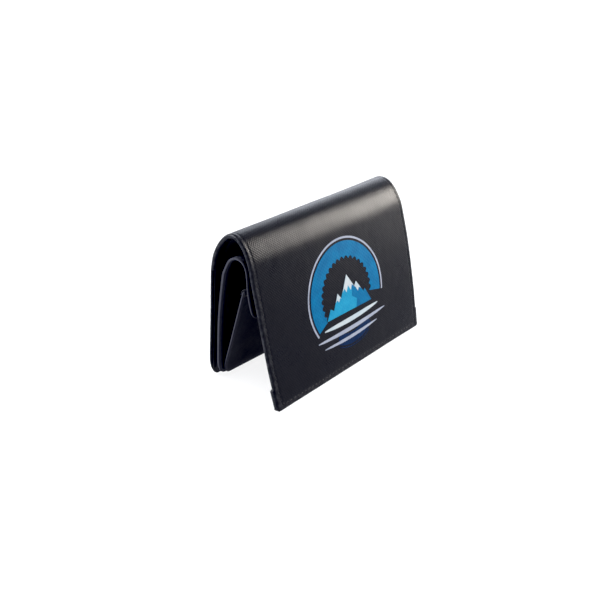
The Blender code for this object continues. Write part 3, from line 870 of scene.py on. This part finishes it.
# ------------------------------------------------------------------ card slots
SLOT = 0.5
depth = l_far
for k, (name, top) in enumerate((("card_slot_rear", 56.0), ("card_slot_middle", 46.0), ("card_slot_front", 36.0))):
    depth += GAP
    s0, s1 = S_END - top + 0.25, S_END - 5.4
    sh = Sheet(COVER, 0.08, 20.0 + k, 30.0)
    near, far = depth, depth + SLOT

    def slot_near(s, x, near=near, s0=s0, s1=s1):
        e = min(45.75 - abs(x), s1 - s)
        return near - (GAP - 0.02) * (1 - smooth(1.2, 3.2, e)) * smooth(0.0, 1.0, s - s0 + 0.4)

    def slot_far(s, x, near=near, far=far, s0=s0):
        # turned top edge
        return far + 0.16 * (1 - smooth(3.6, 4.0, s - s0)) - groove(s - s0, 2.6, 0.1, 0.45)

    lines = [s0 + e for e in (0.0, 0.5, 1.1, 1.7, 2.2, 2.6, 3.0, 3.5, 3.8, 4.1, 5.0)] + stations(s0 + 7.5, s1, 2.8)
    piece = closed_sheet(
        f"{name}_front", sh, lines, edged(45.75, (0.0, 0.6, 1.6, 12.0), 4.0),
        lambda s, side: 45.75, slot_near, slot_far, M_SLOT, rim=4,
    )  # fmt: skip
    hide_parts(name)
    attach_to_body(piece, "front_flap")
    hem = [(s0 + 2.6, x) for x in np.linspace(-44.6, 44.6, 60)]
    stitches(f"stitches_{name}_hem", path_on(sh, hem, slot_far, True), body="front_flap", radius=0.18, pitch=2.3)
    depth += SLOT
slots_far = depth
slot_pairs = u_path(S_END - 55.0, S_END - 6.9, 44.4, 1.2)


def slot_stack(s, x):
    """Depth of the uppermost card slot's face at s."""
    e = S_END - s
    d = l_far
    for top, layer in ((56.0, 1), (46.0, 2), (36.0, 3)):
        if e <= top - 0.3:
            d = l_far + layer * (GAP + SLOT)
    return d


stitch_slots = stitches("stitches_card_slots", path_on(Sheet(COVER), slot_pairs, slot_stack, True), body="front_flap", radius=0.18, pitch=2.3)
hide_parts("card_slot_seam_thread")

# ------------------------------------------------------------------ inner panel and coin flap, one sheet
PANEL = 1.0
inner = Sheet(INNER, 0.1, 31.0, 30.0)
S_COIN_BEND = INNER.nearest(25.6, 71.2)
S_TIP = INNER.length


def inner_half(s, side):
    # 118 wide at the panel, 116 at the flap, with rounded corners at both ends
    wide = 59.0 - 1.0 * smooth(INNER.nearest(34.6, 61.0), INNER.nearest(32.9, 66.2), s) - 0.5
    a = corner_half(wide, 4.2, 0.5, -1, 2.0)(s)
    b = corner_half(wide, 3.4, S_TIP - 0.5, 1)(s)
    return min(a, b)


def inner_inner(s, x):
    """The panel's sides are turned in, so they read thicker."""
    e = 58.5 - abs(x)
    hem = 0.75 * (1 - smooth(INNER.nearest(32.9, 66.2), INNER.nearest(21.6, 69.9), s)) * smooth(1.0, 3.0, s)
    return PANEL + hem * (1 - smooth(3.9, 4.4, e))


def inner_edge(s, x):
    return min((58.0 if s > INNER.nearest(32.9, 66.2) else 59.0) - abs(x), S_TIP - s)


flap_seam = 1.9


def inner_outer(s, x):
    if s < INNER.nearest(32.9, 66.2):
        return 0.0
    return groove(inner_edge(s, x), flap_seam, 0.12, 0.45)


u_inner = edged(58.5, (0.0, 0.35, 0.75, 1.1, 1.4, 1.7, 2.1, 2.6, 3.4, 3.9, 4.4, 5.2, 12.0), 4.0)
tip_lines = [S_TIP - e for e in (6.0, 4.6, 3.6, 2.9, 2.5, 2.2, 1.9, 1.6, 1.3, 0.9, 0.5)]
s_inner = [0.5, 0.6, 0.8, 1.1, 1.6, 2.3, 3.0, 4.0, 5.2, 6.6, 8.0] + stations(9.5, INNER.nearest(34.6, 61.0), 3.0) + stations(
    INNER.nearest(34.6, 61.0) + 1.5, INNER.nearest(18.7, 62.0), 1.1
) + stations(INNER.nearest(18.7, 62.0) + 1.6, tip_lines[0] - 1.0, 2.0) + tip_lines  # fmt: skip
inner_sheet = closed_sheet(
    "inner_panel_and_coin_flap", inner, s_inner, u_inner, inner_half, inner_outer, inner_inner, M_PANEL, rim=5,
)
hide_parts("inner_panel", "coin_flap_root", "coin_flap")


def on_coin_flap(obj):
    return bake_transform(obj)


on_coin_flap(inner_sheet)
coin_flap_path = u_path(INNER.nearest(32.9, 66.2) + 1.0, S_TIP - flap_seam, 58.0 - flap_seam, 2.4)
stitch_coin = stitches("stitches_coin_flap", path_on(inner, coin_flap_path, inner_outer), attach=on_coin_flap, radius=0.2, pitch=2.5)
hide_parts("coin_flap_seam_thread")
stitches("stitches_coin_flap_inner", path_on(inner, coin_flap_path, PANEL, True), attach=on_coin_flap, radius=0.2, pitch=2.5)

# ------------------------------------------------------------------ coin pocket front and its mouth tape
coin = Sheet(COIN, 0.12, 51.0, 26.0)
L_COIN = COIN.length
coin_front = closed_sheet(
    "coin_pocket_front", coin, [0.5, 0.6, 0.8, 1.1, 1.6, 2.3, 3.2, 4.2, 5.4, 6.6] + stations(8.0, L_COIN - 0.4, 2.2),
    edged(56.5, (0.0, 0.5, 1.4, 12.0), 4.0), lambda s, side: corner_half(56.5, 4.0, 0.5, -1, 1.8)(s),
    lambda s, x: 0.0, lambda s, x: -PANEL, M_PANEL, rim=5,
)  # fmt: skip
# the coin line runs with its outer face on the left, so the sheet's depths count backwards
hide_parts("coin_front_panel")
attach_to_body(coin_front, "coin_front")


def ribbon_tape(name, half, mat):
    """Folded tape over the coin pocket's mouth: a thin U in section, along X."""
    t, n = COIN.tangent(L_COIN), COIN.normal(L_COIN)
    top = COIN.point(L_COIN)
    section = []
    outer_r = (PANEL + 2 * 0.72) / 2
    mid = top - n * (PANEL / 2)
    down = 2.2
    steps = 9
    for r in (outer_r, outer_r - 0.42):
        arc = [mid + n * r * math.cos(a) + t * (0.12 + (r * 0.72) * math.sin(a)) for a in np.linspace(0, math.pi, steps)]
        legs = [mid + n * r - t * down] + arc + [mid - n * r - t * down]
        section.append(legs)
    loop = section[0] + section[1][::-1]
    xs = list(np.linspace(-half, half, 60))
    verts, faces, cloth = [], [], []
    m = len(loop)
    for x in xs:
        for k, p in enumerate(loop):
            w = 0.06 * noise.noise(Vector((x / 9.0, k * 0.4, 2.0)))
            verts.append(world(x, p[0] + n[0] * w, p[1] + n[1] * w))
            cloth.append((x * MM, k * 0.5 * MM, 0.0))
    for i in range(len(xs) - 1):
        for k in range(m):
            a, b = i * m + k, i * m + (k + 1) % m
            faces.append((a, b, b + m, a + m))
    faces.append(tuple(range(m))[::-1])
    faces.append(tuple(range((len(xs) - 1) * m, len(xs) * m)))
    return make_object(name, verts, faces, mat, cloth)


tape = ribbon_tape("coin_mouth_tape_fold", 56.8, M_TAPE)
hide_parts("coin_mouth_tape")
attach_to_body(tape, "coin_front")
mouth_path = []
for x in np.linspace(-55.6, 55.6, 80):
    n = COIN.normal(L_COIN)
    p = COIN.point(L_COIN - 1.1) + n * 0.72
    mouth_path.append((world(x, p[0], p[1]), Vector((0, n[0], n[1]))))
stitches("stitches_coin_mouth", mouth_path, body="coin_front", radius=0.18, pitch=2.3)

# ------------------------------------------------------------------ bellows
def wall(line, depth, z, s0, s1):
    """y of the face at a depth below a line, at height z."""
    lo, hi = s0, s1
    f = lambda s: (line.point(s) + line.normal(s) * depth)[1]
    rising = f(hi) > f(lo)
    for _ in range(30):
        mid = (lo + hi) / 2
        if (f(mid) < z) == rising:
            lo = mid
        else:
            hi = mid
    p = line.point((lo + hi) / 2) + line.normal((lo + hi) / 2) * depth
    return p[0]


def bellows(name, side, rear, front, z0, z1, edge_x, depth_at, sag=0.0):
    """A soft side gusset: flanges on both walls, two leaves and a rounded fold between them."""
    count_z, thick = 34, 0.4
    zs = [z0 + (z1 - z0) * i / (count_z - 1) for i in range(count_z)]
    mids = []
    for i, z in enumerate(zs):
        yr, yf = rear(z) - 0.25 - thick / 2, front(z) + 0.25 + thick / 2
        d = depth_at(z)
        mid = (yr + yf) / 2
        half_gap = (yr - yf) / 2
        pts = []
        for k in range(17):
            t = k / 16 * 2 - 1  # -1 rear wall, +1 front wall
            # leaves bow a little and meet in a round fold
            inx = d * (1 - abs(t) ** 1.5)
            y = mid - half_gap * (math.copysign(abs(t) ** 0.85, t))
            bow = 0.35 * math.sin(math.pi * abs(t)) * noise.noise(Vector((z / 14.0, t * 1.3, side * 3.0 + 5.0)))
            pts.append((edge_x - 1.6 - inx, y + bow * min(1.0, half_gap)))
        pts = [(edge_x, yr)] + pts + [(edge_x, yf)]
        mids.append(pts)
    n = len(mids[0])
    verts, cloth = [], []
    for layer in (1, -1):
        for i, z in enumerate(zs):
            pts = mids[i]
            run = 0.0
            for k in range(n):
                a, b = pts[max(k - 1, 0)], pts[min(k + 1, n - 1)]
                dx, dy = b[0] - a[0], b[1] - a[1]
                m = math.hypot(dx, dy) or 1.0
                nx, ny = -dy / m, dx / m
                if k:
                    run += math.hypot(pts[k][0] - pts[k - 1][0], pts[k][1] - pts[k - 1][1])
                x = pts[k][0] + nx * thick / 2 * layer
                y = pts[k][1] + ny * thick / 2 * layer
                dip = sag * (1 - abs((k / (n - 1)) * 2 - 1)) * smooth(z1 - 12, z1, z)
                verts.append(world(side * x, y, z - dip))
                cloth.append((z * MM, run * MM, 0.0))
    faces = []
    half_count = count_z * n
    for i in range(count_z - 1):
        for k in range(n - 1):
            a = i * n + k
            faces.append((a, a + n, a + n + 1, a + 1))
            b = a + half_count
            faces.append((b, b + 1, b + n + 1, b + n))
    border = (
        [(0, k) for k in range(n)]
        + [(i, n - 1) for i in range(1, count_z)]
        + [(count_z - 1, k) for k in range(n - 2, -1, -1)]
        + [(i, 0) for i in range(count_z - 2, 0, -1)]
    )
    for j in range(len(border)):
        (i1, k1), (i2, k2) = border[j], border[(j + 1) % len(border)]
        a, b = i1 * n + k1, i2 * n + k2
        faces.append((a, b, b + half_count, a + half_count))
    obj = make_object(name, verts, faces, M_GUSSET, cloth)
    obj.data.set_sharp_from_angle(angle=math.radians(50))
    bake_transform(obj)
    return obj


rear_wall = lambda z: wall(COVER, 1.28, z, 0.0, S_BACK_BEND)
panel_rear = lambda z: wall(INNER, 0.0, z, 0.0, INNER.nearest(32.9, 66.2))
panel_front = lambda z: wall(INNER, PANEL + 0.75, z, 0.0, INNER.nearest(32.9, 66.2))
coin_rear = lambda z: wall(COIN, -PANEL, z, 0.0, L_COIN)
for word, side in (("left", -1), ("right", 1)):
    g = bellows(
        f"bill_bellows_{word}", side, rear_wall, panel_rear, 5.0, 62.0, 58.7, lambda z: 3.2 + 3.6 * z / 60.0,
        0.8,
    )  # fmt: skip
    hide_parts(f"bill_gusset_{word}")
    g = bellows(
        f"coin_bellows_{word}", side, panel_front, coin_rear, 9.0, 49.5, 56.2, lambda z: 2.0 + 6.0 * z / 50.0,
        1.6,
    )  # fmt: skip
    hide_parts(f"coin_gusset_{word}")

# ------------------------------------------------------------------ banknote pocket's floor: a folded strip
strip_verts, strip_faces, strip_cloth = [], [], []
y0, y1 = wall(COVER, 1.3, 3.3, 0.0, 30.0) - 0.25, panel_rear(3.3) + 0.3
profile = []
for k in range(13):
    t = k / 12
    profile.append((y0 + (y1 - y0) * t, 3.6 - 0.75 * math.sin(math.pi * t)))
top = [(y, z + 0.2) for y, z in profile]
loop = profile + top[::-1]
xs = list(np.linspace(-53.0, 53.0, 50))
for x in xs:
    for k, (y, z) in enumerate(loop):
        w = 0.12 * noise.noise(Vector((x / 7.0, 3.0, 1.0)))
        strip_verts.append(world(x, y, z + w))
        strip_cloth.append((x * MM, k * 0.35 * MM, 0.0))
m = len(loop)
for i in range(len(xs) - 1):
    for k in range(m):
        a, b = i * m + k, i * m + (k + 1) % m
        strip_faces.append((a, b, b + m, a + m))
strip_faces.append(tuple(range(m))[::-1])
strip_faces.append(tuple(range((len(xs) - 1) * m, len(xs) * m)))
strip = make_object("bill_pocket_floor_strip", strip_verts, strip_faces, M_CLOTH, strip_cloth)
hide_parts("bill_pocket_floor")
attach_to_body(strip, "back")

# ------------------------------------------------------------------ print on the flap
PRINT_S = COVER.nearest(27.7, 82.7) + 53.2
PRINT_X = 1.6


def film(name, points, faces, h0, h1, mat):
    """A closed thin film on the flap: points are (x, t) from the print's centre, t downwards."""
    n = len(points)
    verts, cloth = [], []
    for h in (h1, h0):
        for x, t in points:
            s, xx = PRINT_S + t, PRINT_X + x
            verts.append(cover.place(s, xx, -h))
            cloth.append((s * MM, xx * MM, 0.0))
    all_faces = [tuple(f) for f in faces] + [tuple(v + n for v in reversed(f)) for f in faces]
    edges = {}
    for f in faces:
        for a, b in zip(f, f[1:] + f[:1]):
            edges[a, b] = True
    for a, b in list(edges):
        if (b, a) not in edges:
            all_faces.append((b, a, a + n, b + n))
    obj = make_object(name, verts, all_faces, mat, cloth)
    obj.data.set_sharp_from_angle(angle=math.radians(40))
    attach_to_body(obj, "front_flap")
    return obj


def annulus(name, r_in, r_out, a0, a1, h0, h1, mat, count=240, rows=4):
    """Part of a ring; radii may be functions of the angle. Angles run clockwise from the right, degrees."""
    full = abs(a1 - a0) >= 360
    n = count if full else count + 1
    points, faces = [], []
    for i in range(n):
        a = math.radians(a0 + (a1 - a0) * i / count)
        lo = r_in(a) if callable(r_in) else r_in
        hi = r_out(a) if callable(r_out) else r_out
        for k in range(rows + 1):
            r = lo + (hi - lo) * k / rows
            points.append((r * math.cos(a), r * math.sin(a)))
    for i in range(count):
        j = (i + 1) % n
        for k in range(rows):
            a, b = i * (rows + 1) + k, j * (rows + 1) + k
            faces.append([a, a + 1, b + 1, b])
    return film(name, points, faces, h0, h1, mat)


def patch(name, outline, h0, h1, mat, size=2.2):
    """A filled outline, cut fine enough to follow the flap."""
    bm = bmesh.new()
    vs = [bm.verts.new((x, t, 0)) for x, t in outline]
    for tri in tessellate_polygon([[Vector((x, t, 0)) for x, t in outline]]):
        bm.faces.new([vs[i] for i in tri])
    for _ in range(5):
        long_edges = [e for e in bm.edges if e.calc_length() > size]
        if not long_edges:
            break
        bmesh.ops.subdivide_edges(bm, edges=long_edges, cuts=1)
        bmesh.ops.triangulate(bm, faces=bm.faces)
    bmesh.ops.remove_doubles(bm, verts=bm.verts, dist=1e-5)
    bmesh.ops.recalc_face_normals(bm, faces=bm.faces)
    bm.verts.index_update()
    points = [(v.co.x, v.co.y) for v in bm.verts]
    faces = [[v.index for v in f.verts] for f in bm.faces]
    bm.free()
    return film(name, points, faces, h0, h1, mat)


def scallop(a):
    """The blue ring's inner edge: a plain row of rounded petals."""
    return 18.4 + 1.5 * abs(math.sin(a * 17))


annulus("print_outer_ring", 28.7, 29.7, 150, 372, 0.03, 0.10, M_INK_PALE, 200, 1)
annulus("print_blue_ring", scallop, 27.5, 152, 372, 0.03, 0.10, M_INK_BLUE, 680, 6)
annulus("print_lower_arc", 20.4, 26.4, 52, 118, 0.03, 0.10, M_INK_DEEP, 90, 5)
annulus("print_lower_ring", 27.3, 27.8, 60, 114, 0.03, 0.10, M_INK_DEEP, 70, 1)

# a plain mountain scene
ridge = [(-17.5, 9.0), (-13.8, 3.6), (-11.4, 5.2), (-7.2, -2.6), (-4.8, 0.6), (1.4, -10.2), (6.4, -2.4), (8.2, -4.6), (13.2, 2.6), (14.6, 1.4), (18.8, 9.0)]
patch("print_mountain", ridge, 0.03, 0.10, M_INK_CYAN)
patch("print_snow_main", [(1.4, -10.2), (6.4, -2.4), (4.7, -3.9), (3.4, -1.2), (1.6, -4.4), (-0.2, -1.0), (-1.4, -3.4), (-3.2, -1.9)], 0.12, 0.18, M_INK_WHITE)
patch("print_snow_left", [(-7.2, -2.6), (-4.8, 0.6), (-5.8, 0.4), (-6.9, 2.2), (-8.0, 0.6), (-9.4, 1.6)], 0.12, 0.18, M_INK_WHITE)
patch("print_snow_right", [(8.2, -4.6), (11.4, 0.1), (9.8, -0.7), (8.9, 1.0), (7.6, -1.2), (6.4, -2.4)], 0.12, 0.18, M_INK_WHITE)
patch("print_slope_dark", [(1.4, -10.2), (6.4, -2.4), (8.2, -4.6), (13.2, 2.6), (14.6, 1.4), (18.8, 9.0), (6.0, 9.0), (7.4, 4.6), (3.6, 2.2), (4.7, -3.9)], 0.105, 0.115, M_INK_BLUE)


def swoosh(name, x0, x1, t0, rise, thick, h0, h1, mat, bow=0.0, count=60):
    points, faces = [], []
    for i in range(count + 1):
        f = i / count
        x = x0 + (x1 - x0) * f
        t = t0 - rise * f + bow * math.sin(math.pi * f)
        w = thick * (math.sin(math.pi * min(max(f, 0.015), 0.985))) ** 0.45
        for k in range(3):
            points.append((x, t + w * (k / 2 - 0.5)))
    for i in range(count):
        for k in range(2):
            a = i * 3 + k
            faces.append([a, a + 1, a + 4, a + 3])
    return film(name, points, faces, h0, h1, mat)


# three plain waves under the mountains
swoosh("print_wave_upper", -20.5, 23.5, 13.4, 1.4, 2.5, 0.03, 0.10, M_INK_WHITE, 0.8)
swoosh("print_wave_middle", -26.5, 29.0, 18.0, 1.8, 2.1, 0.12, 0.18, M_INK_PALE, 1.0)
swoosh("print_wave_lower", -22.5, 21.0, 22.2, 1.2, 1.7, 0.12, 0.18, M_INK_PALE, 0.9)

# ------------------------------------------------------------------ press stud: CAD shapes, plated
for name in ("snap_cap", "snap_socket", "snap_stud", "snap_rivet"):
    o = bpy.data.objects.get(name)
    if o is not None:
        for i in range(len(o.material_slots)):
            o.material_slots[i].material = M_METAL

# ------------------------------------------------------------------ floor, light, world
floor_mesh = bpy.data.meshes.new("floor")
floor_mesh.from_pydata([(-9, -9, 0), (9, -9, 0), (9, 9, 0), (-9, 9, 0)], [], [(0, 1, 2, 3)])
floor = bpy.data.objects.new("floor", floor_mesh)
bpy.context.scene.collection.objects.link(floor)
mat, tree, shader = nodes_of("floor")
shader.inputs["Base Color"].default_value = (0.93, 0.93, 0.935, 1.0)
shader.inputs["Roughness"].default_value = 0.6
shader.inputs["Specular IOR Level"].default_value = 0.2
floor_mesh.materials.append(mat)

world_data = bpy.data.worlds.new("studio")
world_data.use_nodes = True
sky = world_data.node_tree
bg = sky.nodes["Background"]
# pale to the horizon all round, dimmer overhead
where = sky.nodes.new("ShaderNodeTexCoord")
parts = sky.nodes.new("ShaderNodeSeparateXYZ")
sky.links.new(where.outputs["Generated"], parts.inputs[0])
ramp = sky.nodes.new("ShaderNodeValToRGB")
ramp.color_ramp.elements[0].position, ramp.color_ramp.elements[0].color = 0.10, (1.05, 1.06, 1.08, 1.0)
ramp.color_ramp.elements[1].position, ramp.color_ramp.elements[1].color = 0.45, (0.17, 0.18, 0.2, 1.0)
sky.links.new(parts.outputs[2], ramp.inputs[0])


def patch_of_sky(azimuth, elevation, reach, core):
    """1 inside a round patch of sky, easing to 0 at its reach."""
    a, e = math.radians(azimuth), math.radians(elevation)
    dot = sky.nodes.new("ShaderNodeVectorMath")
    dot.operation = "DOT_PRODUCT"
    dot.inputs[1].default_value = (math.cos(a) * math.cos(e), math.sin(a) * math.cos(e), math.sin(e))
    sky.links.new(where.outputs["Generated"], dot.inputs[0])
    ease = sky.nodes.new("ShaderNodeMapRange")
    ease.interpolation_type = "SMOOTHSTEP"
    ease.inputs[1].default_value, ease.inputs[2].default_value = math.cos(math.radians(reach)), math.cos(math.radians(core))
    sky.links.new(dot.outputs["Value"], ease.inputs[0])
    return ease.outputs[0]


# a dark flag in front on the right, a bright wall behind on the right
flagged = mix_colour(sky, math_node(sky, "MULTIPLY", patch_of_sky(-54, 2, 26, 9), 0.92), ramp.outputs[0], (0.0, 0.0, 0.0))
wall = mix_colour(sky, patch_of_sky(30, 28, 40, 12), (0.0, 0.0, 0.0), (1.2, 1.27, 1.45))
total = sky.nodes.new("ShaderNodeVectorMath")
sky.links.new(flagged, total.inputs[0])
sky.links.new(wall, total.inputs[1])
sky.links.new(total.outputs["Vector"], bg.inputs[0])
bpy.context.scene.world = world_data
view = bpy.context.scene.view_settings
view.view_transform = "Standard"
# blacks as deep as on a contrasty product shot
view.use_curve_mapping = True
view.curve_mapping.black_level = (0.0088, 0.0085, 0.0052)
view.curve_mapping.update()


def area_light(name, at, to, size, size_y, radiance, colour):
    data = bpy.data.lights.new(name, "AREA")
    data.shape = "RECTANGLE"
    data.size, data.size_y = size, size_y
    data.energy = radiance * math.pi * size * size_y
    data.color = colour
    obj = bpy.data.objects.new(name, data)
    obj.location = at
    obj.rotation_euler = (Vector(to) - Vector(at)).to_track_quat("-Z", "Y").to_euler()
    bpy.context.scene.collection.objects.link(obj)
    return obj


key = area_light("softbox_right", (0.787, -0.400, 0.405), (0, 0, 0.06), 0.38, 0.26, 76.0, (1.0, 0.945, 0.87))
low = area_light("card_right", (0.46, -0.31, 0.065), (0.05, -0.01, 0.06), 0.22, 0.12, 5.0, (1.0, 0.98, 0.95))
glow = area_light("wall_glow", (0.71, 0.46, 0.48), (0, 0, 0.06), 0.52, 0.44, 4.6, (0.88, 0.92, 1.0))
area_light("softbox_overhead", (-0.08, 0.0, 1.15), (0, 0, 0), 1.0, 1.0, 0.8, (1.0, 0.99, 0.97))

back = area_light("softbox_back_left", (-0.60, 0.62, 0.50), (0, 0, 0.06), 0.50, 0.36, 55.0, (0.95, 0.97, 1.0))

# an even wash on the floor alone, so that it stays as white as a paper sweep; the
# lights on the right leave the floor out
floor_only = bpy.data.collections.new("floor_only")
floor_only.objects.link(floor)
not_floor = bpy.data.collections.new("not_floor")
not_floor.objects.link(floor)
not_floor.collection_objects[0].light_linking.link_state = "EXCLUDE"
wash_data = bpy.data.lights.new("floor_wash", "SUN")
wash_data.energy = 3.1
wash_data.angle = 0.6
wash = bpy.data.objects.new("floor_wash", wash_data)
bpy.context.scene.collection.objects.link(wash)
wash.light_linking.receiver_collection = floor_only
wash.light_linking.blocker_collection = floor_only
for lamp in (key, low, glow, back):
    lamp.light_linking.receiver_collection = not_floor
